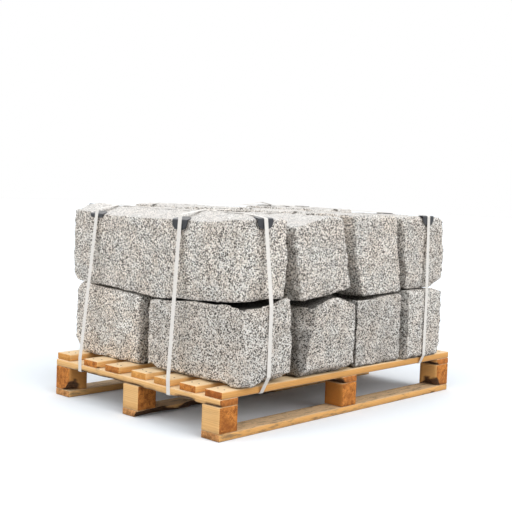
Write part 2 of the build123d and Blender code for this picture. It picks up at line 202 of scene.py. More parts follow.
def add(tree, kind, inputs=None, **settings):
    """A node with its settings, and its inputs set to values or linked to sockets."""
    node = tree.nodes.new(kind)
    for name, value in settings.items():
        setattr(node, name, value)
    for name, value in (inputs or {}).items():
        if isinstance(value, bpy.types.NodeSocket):
            tree.links.new(value, node.inputs[name])
        elif node.inputs[name].type == "RGBA":
            node.inputs[name].default_value = (*value, 1)
        else:
            node.inputs[name].default_value = value
    return node


def read(tree, attribute, output="Fac"):
    return add(tree, "ShaderNodeAttribute", attribute_name=attribute).outputs[output]


def sum_of(tree, operation, a, b=0.0, c=0.0):
    return add(tree, "ShaderNodeMath", {0: a, 1: b, 2: c}, operation=operation).outputs[0]


def stretch(tree, vector, scale):
    node = add(tree, "ShaderNodeVectorMath", {0: vector, 1: scale}, operation="MULTIPLY")
    return node.outputs[0]


def cloud(tree, vector, scale, detail=2.0, roughness=0.5):
    """Soft noise from 0 to 1, with this many waves to a metre."""
    node = add(tree, "ShaderNodeTexNoise",
               {"Vector": vector, "Scale": scale, "Detail": detail, "Roughness": roughness})
    return node.outputs["Fac"]


def shades(tree, factor, stops):
    """Colours along a factor, each given as its place and its colour."""
    node = add(tree, "ShaderNodeValToRGB", {"Fac": factor})
    marks = node.color_ramp.elements
    while len(marks) < len(stops):
        marks.new(1.0)
    for mark, (place, colour) in zip(marks, stops):
        mark.position = place
        mark.color = (*colour, 1.0)
    return node.outputs["Color"]


def window(tree, value, none_at, all_at):
    """0 where the value is at the first limit or short of it, 1 past the second, smooth between."""
    node = add(tree, "ShaderNodeMapRange", {"Value": value, "From Min": none_at, "From Max": all_at},
               interpolation_type="SMOOTHSTEP")
    return node.outputs["Result"]


def paint_over(tree, factor, under, over, mode="MIX"):
    node = add(tree, "ShaderNodeMix", {0: factor, 6: under, 7: over}, data_type="RGBA", blend_type=mode)
    return node.outputs[2]


def veil(tree, under, over, mask, strength):
    """A colour laid thinly over another, where the mask is 1."""
    return paint_over(tree, sum_of(tree, "MULTIPLY", mask, strength), under, over)


def facing(tree, none_at, all_at):
    """1 on faces that look up, or down where the limits lie below zero, and 0 on the others."""
    normal = add(tree, "ShaderNodeNewGeometry").outputs["True Normal"]
    aim = add(tree, "ShaderNodeSeparateXYZ", {0: normal})
    return window(tree, aim.outputs["Z"], none_at, all_at)


def emboss(tree, shader, height, strength, depth):
    bump = add(tree, "ShaderNodeBump", {"Height": height, "Strength": strength, "Distance": depth})
    tree.links.new(bump.outputs["Normal"], shader.inputs["Normal"])


pale_pine = (0.93, 0.60, 0.27)
honey_pine = (0.79, 0.42, 0.135)
amber_pine = (0.47, 0.165, 0.026)
late_wood_brown = (0.46, 0.19, 0.040)
fibre_brown = (0.44, 0.20, 0.06)
grey_under = (0.46, 0.44, 0.42)
grime_brown = (0.17, 0.125, 0.08)
scuff_grey = (0.12, 0.095, 0.075)
ring_brown = (0.19, 0.07, 0.018)
knot_brown = (0.13, 0.05, 0.017)
bark_dark, bark_light = (0.035, 0.019, 0.011), (0.19, 0.095, 0.045)
ring_width, ring_waver = 0.0052, 0.020
knot_scale, knot_push = (6, 13, 13), 0.007
blotch_share, speck_share = 0.65, 0.35
fibre_relief, ring_relief, mottle_relief = 0.6, 0.5, 0.9


def pine(name, end_pale, end_dark, dirt, dust):
    """Sawn pine. Rings lie round the heart of the log, so every face shows its own figure.
    Dirt darkens it in streaks, dust lies on the upper faces, and the undersides are grey."""
    material, tree, shader = start_material(name, roughness=0.72, specular=0.25)
    place = read(tree, "grain_place", "Vector")

    def streaks(along, across, detail, roughness=0.5):
        """Noise drawn out along the grain, with these waves to a metre along and across it."""
        return cloud(tree, stretch(tree, place, (along, across, across)), 1.0, detail, roughness)

    waver = streaks(along=1.6, across=9, detail=3)
    fibre = streaks(along=9, across=420, detail=3)
    patch = streaks(along=3, across=16, detail=3)
    grime = streaks(along=13, across=70, detail=5, roughness=0.65)
    scuff = streaks(along=24, across=130, detail=4, roughness=0.7)
    blotch = streaks(along=40, across=70, detail=3, roughness=0.6)
    speck = streaks(along=80, across=210, detail=3, roughness=0.7)
    crust = streaks(along=90, across=160, detail=4, roughness=0.7)

    branch_place = stretch(tree, place, knot_scale)
    branch = add(tree, "ShaderNodeTexVoronoi", {"Vector": branch_place, "Scale": 1.0})
    near_knot = window(tree, branch.outputs["Distance"], 0.34, 0.07)
    knot = window(tree, branch.outputs["Distance"], 0.115, 0.085)
    across_log = stretch(tree, place, (0, 1, 1))
    off_heart = add(tree, "ShaderNodeVectorMath", {0: across_log}, operation="LENGTH").outputs["Value"]
    depth = sum_of(tree, "MULTIPLY_ADD", waver, ring_waver, off_heart)
    depth = sum_of(tree, "MULTIPLY_ADD", near_knot, knot_push, depth)
    ring = sum_of(tree, "FRACT", sum_of(tree, "DIVIDE", depth, ring_width))
    late_wood = sum_of(tree, "MULTIPLY", window(tree, ring, 0.35, 0.88), window(tree, ring, 1.0, 0.90))

    side = shades(tree, read(tree, "tone"), ((0.0, pale_pine), (0.5, honey_pine), (1.0, amber_pine)))
    side = veil(tree, side, honey_pine, window(tree, patch, 0.40, 0.75), strength=0.4)
    side = veil(tree, side, late_wood_brown, late_wood, strength=0.24)
    side = veil(tree, side, fibre_brown, window(tree, fibre, 0.45, 0.8), strength=0.26)
    dusty = sum_of(tree, "MULTIPLY", facing(tree, 0.5, 0.9), 0.82)
    side = paint_over(tree, dusty, side, dust)
    side = veil(tree, side, grey_under, facing(tree, -0.5, -0.9), strength=0.85)
    side = veil(tree, side, grime_brown, window(tree, grime, 0.50, 0.70), strength=dirt)
    scuffed = sum_of(tree, "MULTIPLY", window(tree, scuff, 0.53, 0.65), dusty)
    side = veil(tree, side, scuff_grey, scuffed, strength=dirt)
    side = veil(tree, side, knot_brown, knot, strength=0.85)

    specks = sum_of(tree, "MULTIPLY", speck, speck_share)
    mottle = sum_of(tree, "MULTIPLY_ADD", blotch, blotch_share, specks)
    end = paint_over(tree, window(tree, mottle, 0.38, 0.64), end_pale, end_dark)
    end = veil(tree, end, end_dark, window(tree, patch, 0.42, 0.62), strength=0.45)
    end = veil(tree, end, ring_brown, late_wood, strength=0.22)

    wood = paint_over(tree, read(tree, "end_face"), side, end)
    bark = shades(tree, crust, ((0.35, bark_dark), (0.7, bark_light)))
    wood = paint_over(tree, read(tree, "bark"), wood, bark)
    tree.links.new(wood, shader.inputs["Base Color"])
    relief = sum_of(tree, "MULTIPLY", late_wood, ring_relief)
    relief = sum_of(tree, "MULTIPLY_ADD", fibre, fibre_relief, relief)
    relief = sum_of(tree, "MULTIPLY_ADD", mottle, mottle_relief, relief)
    emboss(tree, shader, relief, strength=0.55, depth=0.0012)
    return material


skid_dust = (0.64, 0.475, 0.30)
skid_end, skid_end_dark = (0.76, 0.38, 0.14), (0.30, 0.13, 0.043)
skid_pine = pine("skid_pine", skid_end, skid_end_dark, dirt=0.75, dust=skid_dust)
skid_seed = 10
rows = ("front", "middle", "back")
skid_wanes = {"skid_middle": [((Y, -1), (Z, -1), 0.0, 0.55, 0.030)]}
for number, row in enumerate(rows):
    node = f"skid_{row}"
    sawn = timber_mesh(node, X, skid_seed + number, skid_wanes.get(node, ()))
    put(node + "_sawn", sawn, skid_pine, "board_wood", node)

# Blocks: nine short pieces of squared pine between the skids and the stringers.
# They are cut from offcuts, so some lie with the end grain to the front and some to the side.
end_grain, end_grain_dark = (0.74, 0.285, 0.058), (0.32, 0.098, 0.018)
block_pine = pine("block_pine", end_grain, end_grain_dark, dirt=0.12, dust=skid_dust)
block_seed = 30
lines = ("left", "middle", "right")
block_grain = {"block_left_back": X, "block_middle_back": X}
block_tone = {
    "block_left_front": 0.05, "block_left_middle": 0.08, "block_middle_front": 0.95,
    "block_right_front": 0.40, "block_left_back": 0.75,
}
block_wanes = {
    "block_left_back": [((Y, -1), (Z, -1), 0.0, 0.62, 0.040)],
    "block_right_front": [((X, -1), (Z, -1), 0.0, 0.95, 0.034)],
}
for number, line in enumerate(lines):
    for step, row in enumerate(rows):
        node = f"block_{line}_{row}"
        seed = block_seed + len(rows) * number + step
        sawn = timber_mesh(node, block_grain.get(node, Y), seed, block_wanes.get(node, ()),
                           block_tone.get(node))
        put(node + "_sawn", sawn, block_pine, "block_wood", node)

# Stringers: three pine boards across the pallet, nailed down on the blocks.
# Their lower edges are wane, so a dark line of bark shows above the blocks.
deck_dust = (0.94, 0.74, 0.48)
stringer_end, stringer_end_dark = (0.72, 0.255, 0.055), (0.31, 0.105, 0.023)
stringer_pine = pine("stringer_pine", stringer_end, stringer_end_dark, dirt=0.30, dust=deck_dust)
stringer_seed = 50
left_under, right_under = ((X, -1), (Z, -1)), ((X, 1), (Z, -1))
stringer_wanes = {
    "left": [(*left_under, 0.0, 0.10, 0.009), (*left_under, 0.12, 0.26, 0.012),
             (*left_under, 0.24, 0.98, 0.007)],
    "middle": [(*left_under, 0.0, 0.14, 0.018)],
    "right": [(*left_under, 0.0, 0.14, 0.018), (*right_under, 0.5, 0.9, 0.008)],
}
for number, line in enumerate(lines):
    node = f"stringer_{line}"
    sawn = timber_mesh(node, Y, stringer_seed + number, stringer_wanes[line])
    put(node + "_sawn", sawn, stringer_pine, "board_wood", node)

# Deck boards: seven pine boards along the pallet, nailed across the stringers.
# Their ends stand a little out of line, and they carry the stones.
deck_dirt = 0.14
brown_end, brown_end_dark = (0.58, 0.185, 0.034), (0.27, 0.077, 0.015)
pale_end, pale_end_dark = (0.84, 0.43, 0.12), (0.58, 0.25, 0.058)
deck_pine = pine("deck_pine", end_grain, end_grain_dark, deck_dirt, deck_dust)
front_deck_pine = pine("front_deck_pine", brown_end, brown_end_dark, deck_dirt, deck_dust)
pale_deck_pine = pine("pale_deck_pine", pale_end, pale_end_dark, deck_dirt, deck_dust)
deck_finish = {"deck_board_1": front_deck_pine, "deck_board_3": pale_deck_pine,
               "deck_board_4": pale_deck_pine, "deck_board_7": pale_deck_pine}
deck_seed = 60
deck_board_count = 7
deck_boards = [f"deck_board_{number}" for number in range(1, deck_board_count + 1)]
for number, node in enumerate(deck_boards):
    sawn = timber_mesh(node, X, deck_seed + number)
    put(node + "_sawn", sawn, deck_finish.get(node, deck_pine), "board_wood", node)

# Nails: steel, two through each deck board into each stringer.
# Only their flat heads show, driven flush with the top of the board.
nail_radius, nail_taper = 0.0030, 0.8
nail_height = 0.0004
nail_in = 0.022
nail_stray_along, nail_stray_across = 0.4, 0.2
nail_sides = 12
nail_seed = 5
heads = bmesh.new()
nail_draw = random.Random(nail_seed)
for board in deck_boards:
    board_low, board_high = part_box(board)
    for line in lines:
        stringer_low, stringer_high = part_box(f"stringer_{line}")
        middle = (stringer_low.x + stringer_high.x) / 2
        for side in (board_low.y + nail_in, board_high.y - nail_in):
            x = middle + nail_draw.uniform(-nail_stray_along, nail_stray_along) * nail_in
            y = side + nail_draw.uniform(-nail_stray_across, nail_stray_across) * nail_in
            seat = Matrix.Translation((x, y, board_high.z))
            bmesh.ops.create_cone(heads, cap_ends=True, segments=nail_sides, radius1=nail_radius,
                                  radius2=nail_radius * nail_taper, depth=2 * nail_height, matrix=seat)
nail_mesh = bpy.data.meshes.new("nail_heads")
heads.to_mesh(nail_mesh)
heads.free()
bare_steel, rusted_steel = (0.09, 0.085, 0.08), (0.10, 0.05, 0.025)
steel, tree, shader = start_material("nail_steel", roughness=0.5, specular=0.5)
shader.inputs["Metallic"].default_value = 1.0
spot = add(tree, "ShaderNodeTexCoord").outputs["Object"]
rust = shades(tree, cloud(tree, spot, 700, 3), ((0.35, bare_steel), (0.7, rusted_steel)))
tree.links.new(rust, shader.inputs["Base Color"])
put("nail_heads", nail_mesh, steel, "nail_steel")

# Lower course: six walling stones split from grey granite, standing on the deck boards.
# They are broken by wedges, so the faces are rough and scalloped and the arrises are chipped.
weld_gap = 1e-5
stone_voxel = 0.0045


def fine_copy(node):
    """The mesh of a node's stone, welded and divided into small even faces."""
    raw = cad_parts[node].data.copy()
    welded = bmesh.new()
    welded.from_mesh(raw)
    bmesh.ops.remove_doubles(welded, verts=welded.verts, dist=weld_gap)
    welded.to_mesh(raw)
    welded.free()
    block = bpy.data.objects.new(node, raw)
    bpy.context.scene.collection.objects.link(block)
    remesh = block.modifiers.new("remesh", "REMESH")
    remesh.mode = "VOXEL"
    remesh.voxel_size = stone_voxel
    worked_out = block.evaluated_get(bpy.context.evaluated_depsgraph_get())
    mesh = bpy.data.meshes.new_from_object(worked_out)
    bpy.data.objects.remove(block)
    return mesh


def per_vertex(mesh, field):
    values = np.empty(len(mesh.vertices) * 3, np.float32)
    mesh.vertices.foreach_get(field, values)
    return values.reshape(-1, 3)


arris_rounds, arris_bend = 4, 0.20


def arris_share(mesh, normal):
    """1 on the arrises of a stone and 0 on its flat faces, by how the normals round a point part."""
    links = np.empty(len(mesh.edges) * 2, np.int32)
    mesh.edges.foreach_get("vertices", links)
    one, other = links.reshape(-1, 2).T
    neighbours = np.bincount(links, minlength=len(normal))[:, None]
    spread = normal.copy()
    for _ in range(arris_rounds):
        total = np.zeros_like(spread)
        np.add.at(total, one, spread[other])
        np.add.at(total, other, spread[one])
        spread = total / neighbours
    return np.clip((1 - np.linalg.norm(spread, axis=1)) / arris_bend, 0, 1)


guard_clear = 0.030
guard_boxes = [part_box(name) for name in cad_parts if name.startswith("corner_protector")]


def clear_of_guards(place):
    """0 under a corner protector, 1 well clear of all of them."""
    clear = np.ones(len(place))
    for low, high in guard_boxes:
        away = np.maximum(np.maximum(np.array(low) - place, place - np.array(high)), 0)
        clear = np.minimum(clear, np.clip(np.linalg.norm(away, axis=1) / guard_clear, 0, 1))
    return clear


def room_round(node, place, kind=""):
    """The nearest point of another piece of this kind to each point of a stone, and how far it is."""
    points, faces = [], []
    for name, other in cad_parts.items():
        if name != node and kind in name:
            first = len(points)
            points.extend(vertex.co for vertex in other.data.vertices)
            faces.extend([first + corner for corner in face.vertices] for face in other.data.polygons)
    pieces = BVHTree.FromPolygons(points, faces)
    found = [pieces.find_nearest(point) for point in place]
    return np.array([hit[0] for hit in found]), np.array([hit[3] for hit in found])


# Noise vectors start from the clock unless they are given a seed.
noise_seed = 7
noise.seed_set(noise_seed)
swell_depth, swell_scale = 0.0040, 7.0
spall_depth, spall_scale = 0.0085, 21.0
spall_level, spall_lean, spall_sharp = 0.36, 0.9, 5
spall_warp, spall_warp_scale, spall_draw = 0.016, 11, 7.3
ripple_depth, ripple_scale, ripple_level = 0.0028, 41.0, 0.4
pit_depth, pit_scale = 0.0016, 85.0


def split_depth(spot):
    """How deep the split face lies at a spot: a slow swell, leaning spalls, ripples and pits."""
    warped = spot + noise.noise_vector(spot * spall_warp_scale) * spall_warp
    split_place = warped * spall_scale
    gaps, cells = noise.voronoi(split_place)
    lean = noise.noise_vector(cells[0] * spall_draw).dot(split_place - cells[0])
    inside = min(1.0, spall_sharp * (gaps[1] - gaps[0]))
    spall = min(1.0, max(0.0, spall_level + spall_lean * lean * inside))
    ripple = max(0.0, ripple_level + noise.noise(spot * ripple_scale))
    depth = swell_depth * waves(spot, swell_scale) + spall_depth * spall
    return depth + ripple_depth * ripple + pit_depth * waves(spot, pit_scale)


chip_share, chip_scale, chip_start = 0.7, 31.0, 0.02
flake_share, flake_scale = 0.5, 88


def chip_size(spot):
    """How much of an arris is chipped off at a spot, up to 1."""
    chip = chip_share * noise.noise(spot * chip_scale) + flake_share * noise.noise(spot * flake_scale)
    return min(1.0, max(0.0, chip - chip_start))


heel_height, heel_blend = 0.030, 0.080
foot_bite, foot_reach = 0.015, 0.045
bite_level, bite_share, bite_scale, nibble_share, nibble_scale = 0.10, 0.9, 29, 0.6, 73
square_level, square_share, square_scale = 0.45, 0.40, 15
square_least, square_most = 0.10, 0.95
tooth_share, tooth_scale = 0.7, 47


def foot_rise(spot, height, from_face, square_off):
    """How far a point low on a lower stone rises, where the edge of the foot is bitten,
    less how far it drops, where the foot is squared off against the deck."""
    ragged = noise.noise(spot * square_scale) + tooth_share * noise.noise(spot * tooth_scale)
    squared = min(square_most, max(square_least, square_level + square_share * ragged))
    if height < heel_height:
        drop = (1 - squared) * height
    else:
        drop = (1 - squared) * heel_height * (1 - (height - heel_height) / heel_blend)
    bite = bite_share * noise.noise(spot * bite_scale) + nibble_share * noise.noise(spot * nibble_scale)
    edge = max(0.0, 1 - from_face / foot_reach) * max(0.0, 1 - height / heel_height)
    return foot_bite * max(0.0, bite_level + bite) * edge - drop * square_off


touching, least_gap = 0.001, 1e-4
toward_start, toward_blend = 0.2, 0.5
# How far from another stone the painted shade in the joints reaches.
joint_shade_reach = 0.16


def painted_joint_shade(node, place, normal):
    """How much shade is painted into the joints: 1 where another stone stands close in front of the
    face.
    """
    near, gap = room_round(node, place, "stone")
    toward = ((near - place) * normal).sum(1) / np.maximum(gap, least_gap)
    opposite = np.where(gap < touching, 1.0, np.clip((toward - toward_start) / toward_blend, 0, 1))
    return opposite * np.clip(1 - gap / joint_shade_reach, 0, 1)


bevel_height_share = 0.75


def struck_off(plan, height, on_front, on_left, foot_share):
    """How far each point of the plan moves where the near left arris is struck off."""
    outward = np.array((-on_left, -on_front)) / math.hypot(on_left, on_front)
    over = (plan - plan.min(0) - (on_front, 0.0)) @ outward
    most = on_front * -outward[0]
    up_bevel = np.clip(height / (bevel_height_share * height.max()), 0, 1)
    over -= most * (1 - foot_share) * (1 - up_bevel)
    return np.clip(over, 0, None)[:, None] * -outward


dome_top = 1.4


def dome(plan, share_x, share_y, reach):
    """1 round a place given as shares of the plan, falling to 0 at its reach."""
    centre = plan.min(0) + np.array((share_x, share_y)) * np.ptp(plan, axis=0)
    away = np.linalg.norm(plan - centre, axis=1) / reach
    return np.clip(dome_top - dome_top * away * away, 0, 1)


stone_drift = 60
square_start, square_slope = 3.2, 7
# The arrises are painted paler, partly as fresh broken stone and partly as a painted highlight.
chip_depth, arris_pale_and_highlight = 0.0170, 0.35
proud, most_proud, proud_share = 0.0062, 0.0040, 0.4
flat_face, flat_rough = 0.9, 0.35
bed_lean, bed_blend = 0.35, 0.4
bed_gap, bed_scale, bed_level, bed_wave = 0.0045, 9.0, 0.5, 1.2
bed_reach, bed_rim = 0.080, 1.3
under_slope, under_start = 1.5, 0.15
# A lower stone gets painted shade on its faces that look down, up to this height above the deck.
foot_shade_height, foot_shade_strength = 0.019, 0.75
lump_depth, lump_room = 0.080, 0.7


def stone_mesh(node, seed, bed_side, joint_shade, hollows=(), bevel=None, lumps=()):
    """A node's stone with its faces roughened and its arrises chipped, proud only where there is room.
    Its bed, on top where the side is 1 and below where it is -1, is broken back near the faces.
    A hollow is a piece struck off the bed: its place as shares of the plan, its reach and its depth.
    A lump is a rise on top, given in the same way, as far as there is room over it.
    A bevel is the near left arris struck off: how far back on the front and left faces,
    and its foot's share. A lower stone's foot is bitten along its edge, and without a bevel
    its left half is squared. The joint shade is how strongly shade is painted on its faces where
    another stone stands close in front, and a lower stone also gets painted shade under its foot."""
    mesh = fine_copy(node)
    place = per_vertex(mesh, "co")
    normal = per_vertex(mesh, "normal")
    upward = normal[:, 2]
    plan = place[:, :2]
    height = place[:, 2] - place[:, 2].min()
    from_face = np.minimum(plan - plan.min(0), plan.max(0) - plan).min(1)
    across = (plan[:, 0] - plan[:, 0].min()) / np.ptp(plan[:, 0])
    square_off = np.zeros(len(place)) if bevel else np.clip(square_start - square_slope * across, 0, 1)
    drift = random_shift(random.Random(seed), stone_drift)
    inward = np.empty(len(place))
    chipped = np.empty(len(place))
    broken = np.empty(len(place))
    rise = np.zeros(len(place))
    for number, point in enumerate(place):
        spot = Vector(point) + drift
        inward[number] = split_depth(spot)
        chipped[number] = chip_size(spot)
        broken[number] = max(0.0, bed_level + bed_wave * noise.noise(spot * bed_scale))
        if bed_side > 0 and height[number] < heel_height + heel_blend:
            rise[number] = foot_rise(spot, height[number], from_face[number], square_off[number])
    arris = arris_share(mesh, normal)
    chipped *= arris
    room = room_round(node, place)[1]
    inward = np.maximum(inward - proud, -np.minimum(most_proud, proud_share * room))
    inward += chip_depth * chipped
    inward *= clear_of_guards(place)
    inward *= np.where((upward < -flat_face) | (upward * bed_side > flat_face), flat_rough, 1.0)
    moved = place - normal * inward[:, None]
    moved[:, 2] += rise
    if bevel:
        moved[:, :2] += struck_off(plan, height, *bevel)
    lost = bed_gap * broken * np.clip(bed_rim - from_face / bed_reach, 0, 1)
    for share_x, share_y, reach, depth in hollows:
        lost = np.maximum(lost, depth * dome(plan, share_x, share_y, reach))
    moved[:, 2] -= bed_side * lost * np.clip((upward * bed_side - bed_lean) / bed_blend, 0, 1)
    for share_x, share_y, reach, lift in lumps:
        near_top = np.clip(1 - (height.max() - height) / lump_depth, 0, 1)
        raised = lift * dome(plan, share_x, share_y, reach) * near_top
        moved[:, 2] += np.minimum(raised, lump_room * room)
    # Shade painted on faces where another stone stands close in front of them.
    painted_shade = joint_shade * painted_joint_shade(node, place, normal)
    if bed_side > 0:
        moved[:, 2] = np.maximum(moved[:, 2], place[:, 2].min())
        # Shade painted under a lower stone's foot, on the faces that look down near the deck.
        under = np.clip(-under_slope * upward - under_start, 0, 1)
        painted_shade = np.maximum(painted_shade, foot_shade_strength * under * np.clip(1 - height / foot_shade_height, 0, 1))
    moved = np.clip(moved, cad_low, cad_high)
    mesh.vertices.foreach_set("co", moved.astype(np.float32).ravel())
    keep_values(mesh, "painted_shade", painted_shade)
    # Paler on chips, as fresh stone, and along every arris, partly as wear and partly as a painted
    # highlight.
    keep_values(mesh, "fresh_and_highlight", np.clip(chipped + arris_pale_and_highlight * arris, 0, 1))
    mesh.update()
    mesh.shade_smooth()
    return mesh


def crystals(tree, spot, scale):
    """Crystals of one mineral: how far each point is from the heart of its crystal,
    and a draw for each crystal."""
    cells = add(tree, "ShaderNodeTexVoronoi", {"Vector": spot, "Scale": scale})
    draw = add(tree, "ShaderNodeSeparateColor", {"Color": cells.outputs["Color"]})
    return cells.outputs["Distance"], draw.outputs["Red"]


granite_shift = 20
ragged_scale, ragged_reach = 260.0, 0.003
ground_scale, white_scale, mica_scale = 310.0, 185.0, 168.0
white_spread, mica_spread = -0.30, -0.20
ground_shades = ((0.0, (0.10, 0.094, 0.088)), (0.28, (0.44, 0.42, 0.395)),
                 (0.62, (0.69, 0.645, 0.60)), (1.0, (0.92, 0.905, 0.88)))
feldspar_white = (0.95, 0.945, 0.93)
mica_black = (0.030, 0.027, 0.024)
cool_cast, warm_cast, warmth_cast = (0.985, 0.975, 0.950), (1.0, 0.950, 0.900), (0.0, 0.02, 0.04)
cast_scale, shade_scale = 13.0, 21.0
shade_low, shade_high = 0.90, 1.08
# Paler grey on chips and arrises: fresh stone, and partly a painted highlight.
fresh_and_highlight_grey = (0.80, 0.78, 0.74)
# Pale grey on the upper faces: partly dust, partly painted light on the tops.
dust_and_top_light_grey = (0.82, 0.81, 0.795)
# Near black, for the shade painted in the joints and under the feet.
painted_shade_black = (0.02, 0.019, 0.017)
grit_scale, crystal_relief = 320.0, 0.5


def granite(name, seed, warmth, tone, dust):
    """Salt and pepper granite: dark mica and white feldspar in a pale ground of fine grey crystals.
    The tone is the shade of the whole stone. Chips and arrises are paler, partly fresh stone and partly
    a painted highlight. Shade is painted near black into the joints and under the feet, and a pale
    layer on top is partly dust and partly painted light."""
    material, tree, shader = start_material(name, roughness=0.88, specular=0.28)
    spot = add(tree, "ShaderNodeTexCoord").outputs["Object"]
    shift = random_shift(random.Random(seed), granite_shift)
    spot = add(tree, "ShaderNodeVectorMath", {0: spot, 1: shift}, operation="ADD").outputs[0]
    ragged = add(tree, "ShaderNodeTexNoise", {"Vector": spot, "Scale": ragged_scale, "Detail": 2.0})
    ragged = add(tree, "ShaderNodeVectorMath", {0: ragged.outputs["Color"], 1: (0.5, 0.5, 0.5)},
                 operation="SUBTRACT").outputs[0]
    warped = add(tree, "ShaderNodeVectorMath", {0: ragged, 1: (ragged_reach,) * 3, 2: spot},
                 operation="MULTIPLY_ADD").outputs[0]
    ground_gap, ground_draw = crystals(tree, warped, ground_scale)
    stone = shades(tree, ground_draw, ground_shades)
    white_gap, white_draw = crystals(tree, warped, white_scale)
    white = sum_of(tree, "MULTIPLY_ADD", white_draw, white_spread, white_gap)
    stone = veil(tree, stone, feldspar_white, window(tree, white, 0.34, 0.29), strength=0.95)
    mica_gap, mica_draw = crystals(tree, warped, mica_scale)
    mica = sum_of(tree, "MULTIPLY_ADD", mica_draw, mica_spread, mica_gap)
    stone = veil(tree, stone, mica_black, window(tree, mica, 0.290, 0.245), strength=0.97)
    warmer = [whole - warmth * drop for whole, drop in zip(warm_cast, warmth_cast)]
    cast = shades(tree, cloud(tree, spot, cast_scale, 3), ((0.36, cool_cast), (0.62, warmer)))
    stone = paint_over(tree, 1.0, stone, cast, "MULTIPLY")
    grey, light = (shade_low * tone,) * 3, (shade_high * tone,) * 3
    shade = shades(tree, cloud(tree, spot, shade_scale, 4, 0.6), ((0.30, grey), (0.70, light)))
    stone = paint_over(tree, 1.0, stone, shade, "MULTIPLY")
    # Chips and arrises paler: partly fresh stone, partly a painted highlight.
    stone = veil(tree, stone, fresh_and_highlight_grey, read(tree, "fresh_and_highlight"), strength=0.30)
    # A pale layer on the upper faces: partly dust, partly painted light on the tops.
    stone = veil(tree, stone, dust_and_top_light_grey, facing(tree, 0.45, 0.85), strength=dust)
    # Painted shade in the joints and under the feet.
    stone = paint_over(tree, read(tree, "painted_shade"), stone, painted_shade_black)
    tree.links.new(stone, shader.inputs["Base Color"])
    grit = cloud(tree, spot, grit_scale, 3, 0.6)
    relief = sum_of(tree, "MULTIPLY_ADD", ground_gap, crystal_relief, grit)
    emboss(tree, shader, relief, strength=1.0, depth=0.0034)
    return material


# Each lower stone: its warmth, its tone, and how strongly shade is painted into its joints.
lower_course = {
    "lower_stone_1_front": (0.4, 0.97, 0.9), "lower_stone_1_back": (1.0, 1.14, 0.0),
    "lower_stone_2": (0.3, 0.95, 0.8), "lower_stone_3_front": (0.5, 0.89, 0.4),
    "lower_stone_3_back": (0.4, 0.96, 0.4), "lower_stone_4": (0.4, 1.05, 0.1),
}
bed_hollows = {
    "lower_stone_1_front": [(0.25, 0.10, 0.170, 0.019)],
    "lower_stone_2": [(0.06, 0.05, 0.170, 0.020), (1.0, 0.05, 0.120, 0.015)],
    "lower_stone_3_front": [(0.10, 0.10, 0.130, 0.015)],
}
struck_arrises = {
    "lower_stone_2": (0.055, 0.160, 0.0), "lower_stone_3_front": (0.010, 0.250, 1.0),
    "lower_stone_4": (0.016, 0.300, 1.0),
}
lower_lumps = {"lower_stone_1_front": [(0.97, 0.03, 0.075, 0.022)]}
lower_granite_seed, lower_stone_seed = 100, 200
top_side = 1
for number, (node, (warmth, tone, joint_shade)) in enumerate(lower_course.items()):
    finish = granite(node + "_granite", lower_granite_seed + number, warmth, tone, dust=0.0)
    rough = stone_mesh(node, lower_stone_seed + number, top_side, joint_shade, bed_hollows.get(node, ()),
                       struck_arrises.get(node), lower_lumps.get(node, ()))
    put(node + "_rough", rough, finish, "granite", node)

# Upper course: six more stones of the same granite, bedded on the lower ones.
# Each lies as it was set down, so the joints lean and dark gaps stay open between them.
upper_course = {
    "upper_stone_1": (0.4, 1.12), "upper_stone_2_front": (0.3, 1.05), "upper_stone_2_back": (0.3, 1.02),
    "upper_stone_3": (0.8, 1.07), "upper_stone_4_front": (0.4, 1.03), "upper_stone_4_back": (0.4, 1.00),
}
upper_lumps = {"upper_stone_1": [(0.0, 1.0, 0.150, 0.013)]}
upper_granite_seed, upper_stone_seed = 120, 220
under_side = -1
for number, (node, (warmth, tone)) in enumerate(upper_course.items()):
    # The upper stones' tops get the pale layer that is partly dust and partly painted light.
    finish = granite(node + "_granite", upper_granite_seed + number, warmth, tone, dust=0.55)
    rough = stone_mesh(node, upper_stone_seed + number, under_side, joint_shade=0.0,
                       lumps=upper_lumps.get(node, ()))
    put(node + "_rough", rough, finish, "granite", node)

# Corner protectors: bent shells of charcoal plastic, moulded with rounded flaps.
# The tight straps hold them on the top edges of the stones.
charcoal, worn_charcoal = (0.028, 0.030, 0.036), (0.045, 0.048, 0.056)
scuffed_grey = (0.12, 0.12, 0.125)
# Lighter grey painted on the upward faces of the flaps: a painted sheen.
painted_guard_sheen = (0.30, 0.30, 0.31)
guard_plastic, tree, shader = start_material("protector_plastic", roughness=0.34, specular=0.5)
spot = add(tree, "ShaderNodeTexCoord").outputs["Object"]
scuffs = cloud(tree, spot, 90.0, 5, 0.7)
plastic = shades(tree, scuffs, ((0.35, charcoal), (0.62, worn_charcoal), (0.80, scuffed_grey)))
# Painted sheen: the flaps that look up are painted lighter grey.
plastic = veil(tree, plastic, painted_guard_sheen, facing(tree, 0.6, 0.95), strength=0.5)
tree.links.new(plastic, shader.inputs["Base Color"])
emboss(tree, shader, cloud(tree, spot, 900.0, 2), strength=0.25, depth=0.0006)
for name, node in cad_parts.items():
    if name.startswith("corner_protector"):
        node.data.materials.clear()
        node.data.materials.append(guard_plastic)

# Straps: four flat bands of white polypropylene, drawn tight round the pallet and the stones,
# and a loose end of the rear one that stands up from it.
# They are rolled with fine ribs along their length; the grooves between the ribs are a little greyer,
# and a little dust lies on the band.
rib_count = 9
band_white, band_dusty = (0.865, 0.84, 0.80), (0.82, 0.79, 0.745)
groove_grey = (0.645, 0.625, 0.595)


